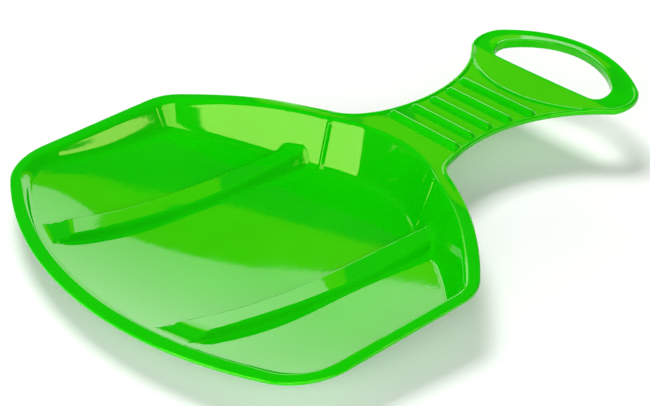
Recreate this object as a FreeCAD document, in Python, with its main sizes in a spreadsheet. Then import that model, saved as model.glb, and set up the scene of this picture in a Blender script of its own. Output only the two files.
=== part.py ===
import FreeCAD, Part
import math
import os
import re

import Sketcher

# Snow slider: a dished pan with two runners, a ribbed neck and a loop handle.
# It is one moulding, divided along its feature lines into regions that meet face to face.
# The model is drawn with the rim plane level, X to the right and Y forward to the handle.
# Every region is then pitched about X so that the straight keel of the floor lies level.

doc = FreeCAD.newDocument("snow_slider")

# Driving dimensions, in millimetres and degrees.
# Places along Y count from the middle of the neck, back to the tail or ahead to the tip.
SIZES = [
    ("pan_width", 350, "width over the straight sides of the rim"),
    ("tail_reach", 328, "neck middle back to the tail"),
    ("tail_radius", 315, "bow of the tail edge"),
    ("tail_corner_radius", 48, "corner between tail and side"),
    ("shoulder_radius", 340, "bow of the shoulder edge"),
    ("shoulder_angle", 23.5, "slope of the shoulder edge where it meets the front bow"),
    ("shoulder_half_width", 64, "half width at that meeting"),
    ("shoulder_back", 68.3, "neck middle back to that meeting"),
    ("shoulder_corner_radius", 30, "corner between side and shoulder"),
    ("front_radius", 115.5, "bow of the pan's front"),
    ("wall", 2, "wall of the moulding"),
    ("flange_width", 10.5, "rim edge to the pan's opening"),
    ("lip_width", 3, "width of the lip along the edge"),
    ("lip_rise", 1.2, "lip above the sheet"),
    ("lip_drop", 3, "lip below the sheet's top"),
    ("draft_angle", 22, "lean of the pan's walls"),
    ("draft_lead", 5, "start of the drafted faces above the rim"),
    ("neck_waist", 73, "narrowest width of the neck"),
    ("neck_radius", 114, "hollow of the neck's sides"),
    ("waist_back", 4, "neck middle back to the narrowest place"),
    ("neck_root", 75, "neck middle back to the buried end of the neck"),
    ("tip_reach", 133, "neck middle ahead to the tip"),
    ("tip_radius", 127, "bow of the tip"),
    ("loop_corner_radius", 20, "round ends of the loop"),
    ("slot_edge", 84, "neck middle ahead to the straight side of the slot"),
    ("slot_length", 38, "straight side to the top of the slot's bow"),
    ("slot_radius", 82, "bow of the slot"),
    ("slot_corner_radius", 10, "round ends of the slot"),
    ("ramp_start", 95, "neck middle back to the first bend of the sheet"),
    ("ramp_end", 42, "neck middle back to the second bend"),
    ("ramp_angle", 7, "fall of the sheet from pan to neck"),
    ("neck_angle", 2, "fall of the neck"),
    ("grip_bend", 83, "neck middle ahead to the bend of the handle"),
    ("grip_angle", 9, "rise of the grip"),
    ("floor_slope", 4.5, "fall of the keel towards the front"),
    ("keel_depth", 32, "rim plane to the floor where the tail curve starts"),
    ("tail_rise", 123, "tail edge ahead to that place"),
    ("tail_curve_radius", 330, "upward curve of the tail"),
    ("dish_radius", 800, "bow of the floor across the pan"),
    ("room_height", 160, "height of the space above the floor, past the rim"),
    ("runner_spacing", 150, "between the middles of the runners"),
    ("runner_top", 14, "runner width at its top"),
    ("runner_lean", 28, "lean of the runner's flanks"),
    ("runner_height", 32, "height of the runner's flanks, past the floor"),
    ("runner_depth", 25, "rim plane to the runner's level top"),
    ("runner_rise", 186, "tail edge ahead to where the runner's top turns up"),
    ("runner_curve_radius", 476, "upward curve of the runner's top"),
    ("runner_end_depth", 5, "rim plane to the flat at the runner's tail end"),
    ("runner_front", 92, "neck middle back to the runner's front end"),
    ("rib_pitch", 18, "between the grip ribs"),
    ("rib_width", 9.5, "width of a grip rib"),
    ("rib_rise", 3.5, "grip rib above the neck"),
    ("rib_round", 3.2, "rounding of a grip rib's top"),
    ("rib_margin", 4, "grip rib end to the neck's edge"),
    ("tail_length", 82, "tail edge ahead to where the tail region ends"),
    ("neck_line", 62, "neck middle back to where the neck region starts"),
    ("handle_line", 50, "neck middle ahead to where the handle plate starts"),
    ("tool_reach", 450, "size of trimming shapes, larger than the sled"),
]
RIB_COUNT = 5

sizes = doc.addObject("Spreadsheet::Sheet", "Sizes")
for row, (alias, value, meaning) in enumerate(SIZES, 1):
    sizes.set(f"A{row}", meaning)
    sizes.set(f"B{row}", str(value))
    sizes.setAlias(f"B{row}", alias)
doc.recompute()

ALIASES = [alias for alias, value, meaning in SIZES]
VIEWS = {
    "top": ("XY_Plane", FreeCAD.Rotation()),
    "side": ("YZ_Plane", FreeCAD.Rotation(FreeCAD.Vector(1, 1, 1), 120)),
    "front": ("XZ_Plane", FreeCAD.Rotation(FreeCAD.Vector(1, 0, 0), 90)),
}
# How a sketch counts its own axes and a curve's points.
ACROSS_AXIS, UPRIGHT_AXIS = range(-1, -3, -1)
START, END, CENTRE = range(1, 4)
ORIGIN = (ACROSS_AXIS, START)

# Where the keel and the runners turn up, and how deep the drafted faces reach to pass the floor.
TAIL_TURN = "(tail_reach - tail_rise)"
RUNNER_TURN = "(tail_reach - runner_rise)"
MOULD_DEPTH = f"(draft_lead + keel_depth + {TAIL_TURN} * tan(floor_slope) + wall)"

# Centres of the bows of the right shoulder and of the front.
SHOULDER_X = "(shoulder_half_width - shoulder_radius * sin(shoulder_angle))"
SHOULDER_Y = "(0 - shoulder_back - shoulder_radius * cos(shoulder_angle))"
FRONT_Y = "(0 - shoulder_back - sqrt(front_radius ^ 2 - shoulder_half_width ^ 2))"

# Both ends of the straight side of the rim, before its corners are rounded.
SIDE_TAIL = "(tail_radius - tail_reach - sqrt(tail_radius ^ 2 - (pan_width / 2) ^ 2))"
SIDE_HEAD = f"({SHOULDER_Y} + sqrt(shoulder_radius ^ 2 - (pan_width / 2 - {SHOULDER_X}) ^ 2))"


def formula(text):
    """The text with each size's name pointing at its cell."""
    return re.sub(r"[a-z_]+", lambda word: "Sizes." + word[0] if word[0] in ALIASES else word[0], text)


def number(text):
    """The present value of a formula."""
    return float(sizes.evalExpression(formula(text)))


def bind(thing, place, text):
    thing.setExpression(place, formula(text))


def vector(x, y):
    return FreeCAD.Vector(x, y, 0)


class Drawing:
    """A sketch, in a body or on its own, whose dimensions are formulas of the sheet's sizes."""

    def __init__(self, name, view, body=None):
        role, turn = VIEWS[view]
        if body:
            self.sketch = body.newObject("Sketcher::SketchObject", name)
            planes = [plane for plane in body.Origin.OriginFeatures if plane.Role == role]
            self.sketch.AttachmentSupport = (planes[0], [""])
            self.sketch.MapMode = "FlatFace"
        else:
            self.sketch = doc.addObject("Sketcher::SketchObject", name)
            self.sketch.Placement = FreeCAD.Placement(FreeCAD.Vector(), turn)

    def line(self, start, end):
        return self.sketch.addGeometry(Part.LineSegment(vector(*start), vector(*end)))

    def arc(self, centre, start, end):
        """A counter-clockwise arc about a centre, between the directions of two points."""
        begin = math.atan2(start[1] - centre[1], start[0] - centre[0])
        finish = math.atan2(end[1] - centre[1], end[0] - centre[0])
        if finish < begin:
            finish += math.tau
        circle = Part.Circle(vector(*centre), FreeCAD.Vector(0, 0, 1), math.dist(centre, start))
        return self.sketch.addGeometry(Part.ArcOfCircle(circle, begin, finish))

    def rule(self, kind, *items):
        return self.sketch.addConstraint(Sketcher.Constraint(kind, *items))

    def join(self, *ends):
        """Chain pairs of ends, each given as (curve, end, curve, end)."""
        for pair in ends:
            self.rule("Coincident", *pair)

    def mirror(self, *pairs):
        """Hold pairs of points alike about the upright axis."""
        for pair in pairs:
            self.rule("Symmetric", *pair, UPRIGHT_AXIS)

    def size(self, kind, items, text):
        """A dimension that follows a formula."""
        value = number(text)
        if kind == "Angle":
            value = math.radians(value)
        index = self.rule(kind, *items, value)
        name = f"size_{index}"
        self.sketch.renameConstraint(index, name)
        bind(self.sketch, f"Constraints.{name}", text)

    def place(self, item, end, x=None, y=None):
        """Put a point at formulas of X and Y."""
        if x is not None:
            self.size("DistanceX", (*ORIGIN, item, end), x)
        if y is not None:
            self.size("DistanceY", (*ORIGIN, item, end), y)


def polygon(drawing, corners):
    """A closed outline whose corners are formulas."""
    points = [(number(x), number(y)) for x, y in corners]
    edges = [drawing.line(a, b) for a, b in zip(points, points[1:] + points[:1])]
    for edge, following in zip(edges, edges[1:] + edges[:1]):
        drawing.join((edge, END, following, START))
    for edge, (x, y) in zip(edges, corners):
        drawing.place(edge, START, x, y)


def pad(body, drawing, name, length, both_ways=False, downward=False):
    feature = body.newObject("PartDesign::Pad", name)
    feature.Profile = drawing.sketch
    feature.Midplane = both_ways
    feature.Reversed = downward
    bind(feature, "Length", length)
    return feature


def round_uprights(body, base, name, radius, chosen):
    """Round those steep edges of a prism whose lower and upper ends both pass a test."""
    doc.recompute()
    edges = []
    for index, edge in enumerate(base.Shape.Edges, 1):
        ends = [vertex.Point for vertex in edge.Vertexes]
        if len(ends) == 2 and abs(ends[0].z - ends[1].z) > edge.Length / 2 and all(map(chosen, ends)):
            edges.append(f"Edge{index}")
    feature = body.newObject("PartDesign::Fillet", name)
    feature.Base = (base, edges)
    bind(feature, "Radius", radius)
    return feature


def crossing(centre, radius, other, other_radius):
    """The crossing of two circles that lies to the right of the line from the first centre to the other."""
    apart = math.dist(centre, other)
    along = (radius ** 2 - other_radius ** 2 + apart ** 2) / (2 * apart)
    aside = (radius ** 2 - along ** 2) ** 0.5
    x, y = (other[0] - centre[0]) / apart, (other[1] - centre[1]) / apart
    return centre[0] + along * x + aside * y, centre[1] + along * y - aside * x


def pan_plan(body, name, inset, level):
    """The pan's outline at a level, drawn in from the rim's edge by an inset."""
    plan = Drawing(name, "top", body)
    half = number(f"pan_width / 2 - ({inset})")
    bow = number(f"tail_radius - ({inset})")
    bow_y = number("tail_radius - tail_reach")
    tail_y = bow_y - (bow ** 2 - half ** 2) ** 0.5
    shoulder = number(f"shoulder_radius - ({inset})")
    shoulder_x, shoulder_y = number(SHOULDER_X), number(SHOULDER_Y)
    side_y = shoulder_y + (shoulder ** 2 - (half - shoulder_x) ** 2) ** 0.5
    front_y = number(FRONT_Y)
    front = number(f"front_radius - ({inset})")
    meet_x, meet_y = crossing((shoulder_x, shoulder_y), shoulder, (0, front_y), front)
    tail = plan.arc((0, bow_y), (-half, tail_y), (half, tail_y))
    right_side = plan.line((half, tail_y), (half, side_y))
    right_shoulder = plan.arc((shoulder_x, shoulder_y), (half, side_y), (meet_x, meet_y))
    front_bow = plan.arc((0, front_y), (meet_x, meet_y), (-meet_x, meet_y))
    left_shoulder = plan.arc((-shoulder_x, shoulder_y), (-meet_x, meet_y), (-half, side_y))
    left_side = plan.line((-half, side_y), (-half, tail_y))
    ring = [tail, right_side, right_shoulder, front_bow, left_shoulder, left_side]
    for curve, following in zip(ring, ring[1:] + ring[:1]):
        plan.join((curve, END, following, START))
    plan.mirror((right_side, START, left_side, END), (right_side, END, left_side, START),
                (right_shoulder, END, left_shoulder, START))
    plan.rule("Equal", right_shoulder, left_shoulder)
    plan.rule("Vertical", right_side)
    plan.place(right_side, START, x=f"pan_width / 2 - ({inset})")
    plan.size("Radius", (tail,), f"tail_radius - ({inset})")
    plan.place(tail, CENTRE, y="tail_radius - tail_reach")
    plan.size("Radius", (right_shoulder,), f"shoulder_radius - ({inset})")
    plan.place(right_shoulder, CENTRE, SHOULDER_X, SHOULDER_Y)
    plan.size("Radius", (front_bow,), f"front_radius - ({inset})")
    plan.place(front_bow, CENTRE, y=FRONT_Y)
    bind(plan.sketch, "AttachmentOffset.Base.z", level)
    return plan


def round_pan_corners(body, block, name, inset):
    """Round the corners at the tail and at the shoulders."""
    middle = number(f"({SIDE_TAIL} + {SIDE_HEAD}) / 2")
    reach = number("shoulder_half_width")
    tail_corners = round_uprights(body, block, name + "_tail_corners", f"tail_corner_radius - ({inset})",
                                  lambda p: p.y < middle and abs(p.x) > reach)
    round_uprights(body, tail_corners, name + "_side_corners", f"shoulder_corner_radius - ({inset})",
                   lambda p: p.y > middle and abs(p.x) > reach)


def pan_prism(name, inset):
    """An upright prism of the pan's outline, taller than the sled."""
    body = doc.addObject("PartDesign::Body", name)
    plan = pan_plan(body, name + "_plan", inset, "tool_reach / 2")
    block = pad(body, plan, name + "_pad", "tool_reach", downward=True)
    round_pan_corners(body, block, name, inset)
    return body


def drafted_pan(name, inset):
    """A block of the pan's outline whose sides lean in as they go down."""
    body = doc.addObject("PartDesign::Body", name)
    upper = pan_plan(body, name + "_upper", inset, "draft_lead")
    lower_inset = f"{inset} + {MOULD_DEPTH} * tan(draft_angle)"
    lower = pan_plan(body, name + "_lower", lower_inset, f"draft_lead - {MOULD_DEPTH}")
    doc.recompute()
    block = body.newObject("PartDesign::AdditiveLoft", name + "_loft")
    block.Profile = upper.sketch
    block.Sections = [lower.sketch]
    block.Ruled = True
    round_pan_corners(body, block, name, inset)
    return body


def neck_prism(name, inset):
    """A prism of the neck and loop outline, drawn in from the edge by an inset."""
    body = doc.addObject("PartDesign::Body", name)
    plan = Drawing(name + "_plan", "top", body)
    hollow = number(f"neck_radius + ({inset})")
    hollow_x = number("neck_waist / 2 + neck_radius")
    hollow_y = number("0 - waist_back")
    root_y = number("0 - neck_root")
    root_x = hollow_x - (hollow ** 2 - (root_y - hollow_y) ** 2) ** 0.5
    bow = number(f"tip_radius - ({inset})")
    bow_y = number("tip_reach - tip_radius")
    end_y = number("slot_edge + slot_corner_radius / 2")
    end_x = hollow_x - (hollow ** 2 - (end_y - hollow_y) ** 2) ** 0.5
    root = plan.line((-root_x, root_y), (root_x, root_y))
    right = plan.arc((hollow_x, hollow_y), (end_x, end_y), (root_x, root_y))
    tip = plan.arc((0, bow_y), (end_x, end_y), (-end_x, end_y))
    left = plan.arc((-hollow_x, hollow_y), (-root_x, root_y), (-end_x, end_y))
    plan.join((root, END, right, END), (right, START, tip, START), (tip, END, left, END),
              (left, START, root, START))
    plan.mirror((right, START, left, END), (right, END, left, START))
    plan.rule("Equal", right, left)
    plan.size("Radius", (right,), f"neck_radius + ({inset})")
    plan.place(right, CENTRE, "neck_waist / 2 + neck_radius", "0 - waist_back")
    plan.place(root, START, y="0 - neck_root")
    plan.size("Radius", (tip,), f"tip_radius - ({inset})")
    plan.place(tip, CENTRE, y="tip_reach - tip_radius")
    bind(plan.sketch, "AttachmentOffset.Base.z", "0 - tool_reach / 2")
    block = pad(body, plan, name + "_pad", "tool_reach")
    round_uprights(body, block, name + "_ends", f"loop_corner_radius - ({inset})", lambda p: p.y > 0)
    return body


def slot_prism(name):
    """A prism of the hand slot."""
    body = doc.addObject("PartDesign::Body", name)
    plan = Drawing(name + "_plan", "top", body)
    bow_y = number("slot_edge + slot_length - slot_radius")
    edge_y = number("slot_edge")
    half = (number("slot_radius") ** 2 - (edge_y - bow_y) ** 2) ** 0.5
    edge = plan.line((-half, edge_y), (half, edge_y))
    bow = plan.arc((0, bow_y), (half, edge_y), (-half, edge_y))
    plan.join((edge, END, bow, START), (bow, END, edge, START))
    plan.mirror((edge, START, edge, END))
    plan.place(edge, START, y="slot_edge")
    plan.size("Radius", (bow,), "slot_radius")
    plan.place(bow, CENTRE, y="slot_edge + slot_length - slot_radius")
    bind(plan.sketch, "AttachmentOffset.Base.z", "0 - tool_reach / 2")
    block = pad(body, plan, name + "_pad", "tool_reach")
    round_uprights(body, block, name + "_ends", "slot_corner_radius", lambda p: True)
    return body


def sheet_band(name, above, below):
    """The bent sheet of rim, neck and handle, from one height to another about its top face."""
    body = doc.addObject("PartDesign::Body", name)
    side = Drawing(name + "_side", "side", body)
    ramp_fall = "(ramp_start - ramp_end) * tan(ramp_angle)"
    neck_fall = "(grip_bend + ramp_end) * tan(neck_angle)"
    grip_rise = "(tool_reach - grip_bend) * tan(grip_angle)"
    bends = [("0 - tool_reach", "0"), ("0 - ramp_start", "0"), ("0 - ramp_end", f"0 - {ramp_fall}"),
             ("grip_bend", f"0 - {ramp_fall} - {neck_fall}"),
             ("tool_reach", f"{grip_rise} - {ramp_fall} - {neck_fall}")]
    top = [(y, f"{z} + {above}") for y, z in bends]
    bottom = [(y, f"{z} - {below}") for y, z in reversed(bends)]
    polygon(side, top + bottom)
    pad(body, side, name + "_pad", "tool_reach * 2", both_ways=True)
    return body


def box(name, x, y, z):
    """A box between pairs of formulas."""
    block = doc.addObject("Part::Box", name)
    for side, axis, (low, high) in zip(("Length", "Width", "Height"), "xyz", (x, y, z)):
        bind(block, f"Placement.Base.{axis}", low)
        bind(block, side, f"({high}) - ({low})")
    return block


def combine(kind, name, first, second):
    """A boolean of two document objects: Cut, Common or Fuse."""
    result = doc.addObject(f"Part::{kind}", name)
    result.Base = first
    result.Tool = second
    result.Refine = True
    return result


def side_path(name, turn_back, turn_depth, slope, radius):
    """A line seen from the side: straight under the neck and front, then curving up to the tail."""
    path = Drawing(name, "side")
    front_depth = f"({turn_depth} + {turn_back} * tan({slope}))"
    turn = (number(f"0 - {turn_back}"), number(f"0 - {turn_depth}"))
    bend = number(radius)
    centre = (turn[0] + bend * number(f"sin({slope})"), turn[1] + bend * number(f"cos({slope})"))
    finish_y = number("0 - tail_reach - flange_width")
    finish = (finish_y, centre[1] - (bend ** 2 - (finish_y - centre[0]) ** 2) ** 0.5)
    straight = path.line((0, number(f"0 - {front_depth}")), turn)
    curve = path.arc(centre, finish, turn)
    path.rule("Tangent", straight, END, curve, END)
    path.place(straight, START, "0", f"0 - {front_depth}")
    path.place(straight, END, f"0 - {turn_back}", f"0 - {turn_depth}")
    path.size("Radius", (curve,), radius)
    path.place(curve, START, x="0 - tail_reach - flange_width")
    return path, front_depth


def carry(name, section, route):
    """Carry a cross-section along a side path."""
    path, front_depth = route
    bind(section.sketch, "Placement.Base.z", f"0 - {front_depth}")
    sweep = doc.addObject("Part::Sweep", name)
    sweep.Sections = [section.sketch]
    sweep.Spine = (path.sketch, ["Edge1", "Edge2"])
    sweep.Solid = True
    sweep.Frenet = False
    return sweep


def room_above_floor(name, drop):
    """The space above the dished floor, lowered by a drop."""
    section = Drawing(name + "_section", "front")
    half = number("pan_width / 2 + flange_width")
    radius = number(f"dish_radius + {drop}")
    centre_y = number("dish_radius")
    edge_y = centre_y - (radius ** 2 - half ** 2) ** 0.5
    top_y = number("room_height")
    dish = section.arc((0, centre_y), (-half, edge_y), (half, edge_y))
    right = section.line((half, edge_y), (half, top_y))
    top = section.line((half, top_y), (-half, top_y))
    left = section.line((-half, top_y), (-half, edge_y))
    section.join((dish, END, right, START), (right, END, top, START), (top, END, left, START),
                 (left, END, dish, START))
    section.mirror((right, START, left, END), (right, END, left, START))
    section.rule("Vertical", right)
    section.place(right, END, "pan_width / 2 + flange_width", "room_height")
    section.size("Radius", (dish,), f"dish_radius + {drop}")
    section.place(dish, CENTRE, y="dish_radius")
    return carry(name, section, keel)


def runner_bar(name, side, inset):
    """A bar with leaning flanks along one runner, drawn in by an inset."""
    section = Drawing(name + "_section", "front")
    half = f"runner_top / 2 - {inset} / cos(runner_lean)"
    crown = f"{half} + {inset} * tan(runner_lean)"
    sole = f"{half} + runner_height * tan(runner_lean)"
    middle = f"{side} * runner_spacing / 2"
    corners = [(f"{middle} - ({sole})", "0 - runner_height"), (f"{middle} + ({sole})", "0 - runner_height"),
               (f"{middle} + ({crown})", f"0 - {inset}"), (f"{middle} - ({crown})", f"0 - {inset}")]
    polygon(section, corners)
    return carry(name, section, runner_line)


def runner_limit(name, inset):
    """The space a runner may fill, between its flat tail end and its front end."""
    return box(name, ("0 - tool_reach", "tool_reach"), ("0 - tool_reach", f"0 - runner_front - {inset}"),
               ("0 - tool_reach", f"0 - runner_end_depth - {inset}"))


def lay_at_rest(piece, pitch="floor_slope", y="0", z="0"):
    """Pitch a region with the sled and set the origin under the middle of the sled."""
    middle = "(tip_reach - tail_reach) / 2"
    keel_height = f"(keel_depth + {TAIL_TURN} * tan(floor_slope)) * cos(floor_slope) + wall"
    piece.Placement = FreeCAD.Placement(FreeCAD.Vector(), FreeCAD.Rotation(FreeCAD.Vector(1, 0, 0), 1))
    bind(piece, "Placement.Rotation.Angle", pitch)
    bind(piece, "Placement.Base.y",
         f"(({y}) - {middle}) * cos(floor_slope) - ({z}) * sin(floor_slope)")
    bind(piece, "Placement.Base.z",
         f"({y}) * sin(floor_slope) + ({z}) * cos(floor_slope) + {keel_height}")


regions = []


def region(name, whole, zone):
    """One named region of the moulding: the part of a whole that lies in a zone."""
    piece = combine("Common", name, whole, zone)
    lay_at_rest(piece)
    regions.append(piece)
    return piece


# The top sheet: rim flange, neck and handle with the lip along their edge.
rim_sheet = sheet_band("rim_sheet", "0", "wall")
lip_sheet = sheet_band("lip_sheet", "lip_rise", "lip_drop")
room_below_sheet = sheet_band("room_below_sheet", "0 - wall", "tool_reach")
pan_outline = pan_prism("pan_outline", "0")
pan_inside_lip = pan_prism("pan_inside_lip", "lip_width")
outline = combine("Fuse", "outline", pan_outline, neck_prism("neck_outline", "0"))
inside_lip = combine("Fuse", "inside_lip", pan_inside_lip, neck_prism("neck_inside_lip", "lip_width"))
cavity_inset = "flange_width - draft_lead * tan(draft_angle)"
mould_inset = f"{cavity_inset} - wall / cos(draft_angle)"
pan_cavity = drafted_pan("pan_cavity", cavity_inset)
pan_mould = drafted_pan("pan_mould", mould_inset)
hand_slot = slot_prism("hand_slot")
lip_ring = combine("Cut", "lip_ring", outline, inside_lip)
lip = combine("Common", "lip", lip_ring, lip_sheet)
plate = combine("Common", "plate", rim_sheet, outline)
edged_plate = combine("Fuse", "edged_plate", plate, lip)
opened_plate = combine("Cut", "opened_plate", edged_plate, pan_cavity)
top_sheet = combine("Cut", "top_sheet", opened_plate, hand_slot)

# The pan: dished floor, runners and drafted walls.
keel = side_path("keel", TAIL_TURN, "keel_depth", "floor_slope", "tail_curve_radius")
runner_line = side_path("runner_line", RUNNER_TURN, "runner_depth", "0", "runner_curve_radius")
above_floor = room_above_floor("above_floor", "0")
above_underside = room_above_floor("above_underside", "wall")
wall_shell = combine("Cut", "wall_shell", pan_mould, pan_cavity)
wall_on_floor = combine("Common", "wall_on_floor", wall_shell, above_floor)
walls = combine("Common", "walls", wall_on_floor, room_below_sheet)
rim_with_walls = combine("Fuse", "rim_with_walls", top_sheet, walls)
floor_skin = combine("Cut", "floor_skin", above_underside, above_floor)
floor = combine("Common", "floor", floor_skin, pan_mould)

# Zones that divide the moulding, as seen from above.
everywhere = ("0 - tool_reach", "tool_reach")
leftward = ("0 - tool_reach", "0")
rightward = ("0", "tool_reach")
inner_front = "(shoulder_half_width - flange_width * sin(shoulder_angle))"
far_left = ("0 - tool_reach", f"0 - {inner_front}")
far_right = (inner_front, "tool_reach")
between_shoulders = (f"0 - {inner_front}", inner_front)
tail_line = "(tail_length - tail_reach)"
tail_y = ("0 - tool_reach", tail_line)
side_y = (tail_line, SIDE_HEAD)
shoulder_y = (SIDE_HEAD, "0 - neck_line")
front_y = (SIDE_HEAD, "tool_reach")
neck_y = ("0 - neck_line", "handle_line")
slot_ends = "slot_edge + slot_corner_radius"
plate_y = ("handle_line", slot_ends)
grip_y = (slot_ends, "tool_reach")

region("tail_rim", rim_with_walls, box("tail_rim_zone", everywhere, tail_y, everywhere))
region("left_side_rim", top_sheet, box("left_side_rim_zone", leftward, side_y, everywhere))
region("right_side_rim", top_sheet, box("right_side_rim_zone", rightward, side_y, everywhere))
region("left_shoulder_rim", top_sheet, box("left_shoulder_rim_zone", leftward, shoulder_y, everywhere))
region("right_shoulder_rim", top_sheet, box("right_shoulder_rim_zone", rightward, shoulder_y, everywhere))
region("neck_plate", top_sheet, box("neck_zone", everywhere, neck_y, everywhere))
region("handle_plate", top_sheet, box("handle_plate_zone", everywhere, plate_y, everywhere))
region("handle_grip", top_sheet, box("handle_grip_zone", everywhere, grip_y, everywhere))
region("left_side_wall", walls, box("left_side_wall_zone", leftward, side_y, everywhere))
region("right_side_wall", walls, box("right_side_wall_zone", rightward, side_y, everywhere))
region("left_shoulder_wall", walls, box("left_shoulder_wall_zone", far_left, front_y, everywhere))
region("right_shoulder_wall", walls, box("right_shoulder_wall_zone", far_right, front_y, everywhere))
region("front_wall", walls, box("front_wall_zone", between_shoulders, front_y, everywhere))

# Runners: hollow bars that replace a strip of the floor.
outer_limit = runner_limit("runner_outer_limit", "0")
inner_limit = runner_limit("runner_inner_limit", "wall")
for side_name, side in (("left", "-1"), ("right", "1")):
    bar_sweep = runner_bar(f"{side_name}_bar_sweep", side, "0")
    hollow_sweep = runner_bar(f"{side_name}_hollow_sweep", side, "wall")
    bar = combine("Common", f"{side_name}_bar", bar_sweep, outer_limit)
    seated_bar = combine("Common", f"{side_name}_seated_bar", bar, pan_cavity)
    hollow = combine("Common", f"{side_name}_hollow", hollow_sweep, inner_limit)
    shell = combine("Cut", f"{side_name}_runner_shell", seated_bar, hollow)
    region(f"{side_name}_runner", shell, above_underside)
    floor = combine("Cut", f"floor_beside_{side_name}_runner", floor, seated_bar)
region("seat_floor", floor, room_below_sheet)


def grip_rib(index):
    """One raised bar across the neck, as long as the neck is wide there less a margin."""
    body = doc.addObject("PartDesign::Body", f"grip_rib_{index + 1}")
    y = f"({index - (RIB_COUNT - 1) / 2} * rib_pitch)"
    half = ("(neck_waist / 2 + neck_radius - rib_margin - rib_width / 2"
            f" - sqrt(neck_radius ^ 2 - ({y} + waist_back) ^ 2))")
    plan = Drawing(f"grip_rib_{index + 1}_plan", "top", body)
    end = number(half)
    radius = number("rib_width / 2")
    back = plan.line((-end, -radius), (end, -radius))
    right = plan.arc((end, 0), (end, -radius), (end, radius))
    ahead = plan.line((end, radius), (-end, radius))
    left = plan.arc((-end, 0), (-end, radius), (-end, -radius))
    ring = [back, right, ahead, left]
    for curve, following in zip(ring, ring[1:] + ring[:1]):
        plan.rule("Tangent", curve, END, following, START)
    plan.place(right, CENTRE, half, "0")
    plan.place(left, CENTRE, f"0 - {half}")
    plan.size("Radius", (right,), "rib_width / 2")
    plan.rule("Horizontal", back)
    bar = pad(body, plan, f"grip_rib_{index + 1}_pad", "rib_rise")
    doc.recompute()
    rise = number("rib_rise")
    rim = [f"Edge{place}" for place, edge in enumerate(bar.Shape.Edges, 1)
           if all(abs(vertex.Z - rise) < 1e-6 for vertex in edge.Vertexes)]
    crown = body.newObject("PartDesign::Fillet", f"grip_rib_{index + 1}_crown")
    crown.Base = (bar, rim)
    bind(crown, "Radius", "rib_round")
    height = f"0 - (ramp_start - ramp_end) * tan(ramp_angle) - ({y} + ramp_end) * tan(neck_angle)"
    lay_at_rest(body, "floor_slope - neck_angle", y, height)
    regions.append(body)


for rib in range(RIB_COUNT):
    grip_rib(rib)

doc.recompute()

for thing in doc.Objects:
    if {"Invalid", "Error"} & set(thing.State):
        raise ValueError(f"{thing.Label}: {thing.State}")
for piece in regions:
    if piece.Shape.isNull() or not piece.Shape.isValid() or len(piece.Shape.Solids) != 1:
        raise ValueError(f"{piece.Label} isn't one valid solid")

os.makedirs("parts", exist_ok=True)
for piece in regions:
    piece.Shape.exportStep(f"parts/{piece.Label}.step")
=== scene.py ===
import math

import bpy
import numpy as np
from mathutils import Matrix, Vector
from mathutils.geometry import delaunay_2d_cdt
from mathutils.kdtree import KDTree


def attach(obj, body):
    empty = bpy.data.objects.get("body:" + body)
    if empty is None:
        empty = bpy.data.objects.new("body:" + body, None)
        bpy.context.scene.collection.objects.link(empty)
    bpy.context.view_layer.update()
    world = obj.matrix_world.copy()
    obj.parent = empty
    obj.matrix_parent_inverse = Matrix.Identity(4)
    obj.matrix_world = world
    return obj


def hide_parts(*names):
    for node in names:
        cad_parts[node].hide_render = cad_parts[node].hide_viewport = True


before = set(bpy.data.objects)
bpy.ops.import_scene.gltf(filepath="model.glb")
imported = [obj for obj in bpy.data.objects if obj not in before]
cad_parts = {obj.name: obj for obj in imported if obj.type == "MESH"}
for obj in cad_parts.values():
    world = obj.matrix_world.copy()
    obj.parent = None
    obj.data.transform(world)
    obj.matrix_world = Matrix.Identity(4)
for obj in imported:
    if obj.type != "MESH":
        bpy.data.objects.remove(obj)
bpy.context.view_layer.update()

# The moulding is drawn in millimetres with its rim level, Y forward from the middle of the neck.
# At rest it is pitched nose up and shifted into the frame of the part.
MM = 0.001
PITCH = math.radians(4.5)
SHIFT_Y = 97.2
SHIFT_Z = 49.986

# Plan of the pan: arcs of the tail, the shoulders and the front, straight sides and rounded corners.
HALF = 175.0
TAIL_CENTRE = (0.0, -13.0)
TAIL_R = 315.0
TAIL_CORNER_R = 48.0
SHOULDER_CENTRE = (-71.57, -380.10)
SHOULDER_R = 340.0
SHOULDER_CORNER_R = 30.0
FRONT_CENTRE = (0.0, -164.45)
FRONT_R = 115.5
FRONT_MIDDLE = 30.0
FRONT_BLEND = 2.0
FLANGE = 9.3
DRAFT = math.tan(math.radians(23.5))

# Plan of the neck and of the loop with its hand slot.
NECK_CENTRE = (150.5, -4.0)
NECK_R = 114.0
NECK_FILLET_R = 28.0
NECK_FILLET_REACH = 60.0
TIP_CENTRE = (0.0, 6.0)
TIP_R = 127.0
LOOP_CORNER_R = 20.0
SLOT_EDGE = 84.0
SLOT_CENTRE = (0.0, 40.0)
SLOT_R = 82.0
SLOT_CORNER_R = 10.0

# Sheet: thickness, and bends as place, slope after and before in degrees, and softness.
WALL = 2.0
BENDS = ((-95.0, -7.0, 0.0, 14.0), (-42.0, -2.0, -7.0, 10.0), (83.0, 9.0, -2.0, 2.5))

# Floor: straight keel, curve up to the tail, dish across, and a fill at the foot of the tail.
KEEL_TURN = -205.0
KEEL_DEPTH = 32.0
KEEL_SLOPE = math.tan(PITCH)
KEEL_R = 330.0
DISH_R = 800.0
TAIL_HALF = 70.0
TAIL_FADE = 80.0
TAIL_FILL = 2.2
TAIL_FILL_WIDTH = 75.0
TAIL_FILL_SOFT = 0.5

# Runners: drafted section on a base of one width, and the arc of the crest.
RUNNER_X = 75.0
RUNNER_BASE = 12.5
RUNNER_LEAN = math.tan(math.radians(30.0))
RUNNER_REACH = 20.0
RUNNER_TURN = -142.0
RUNNER_DEPTH = 27.4
RUNNER_R = 476.0
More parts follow.
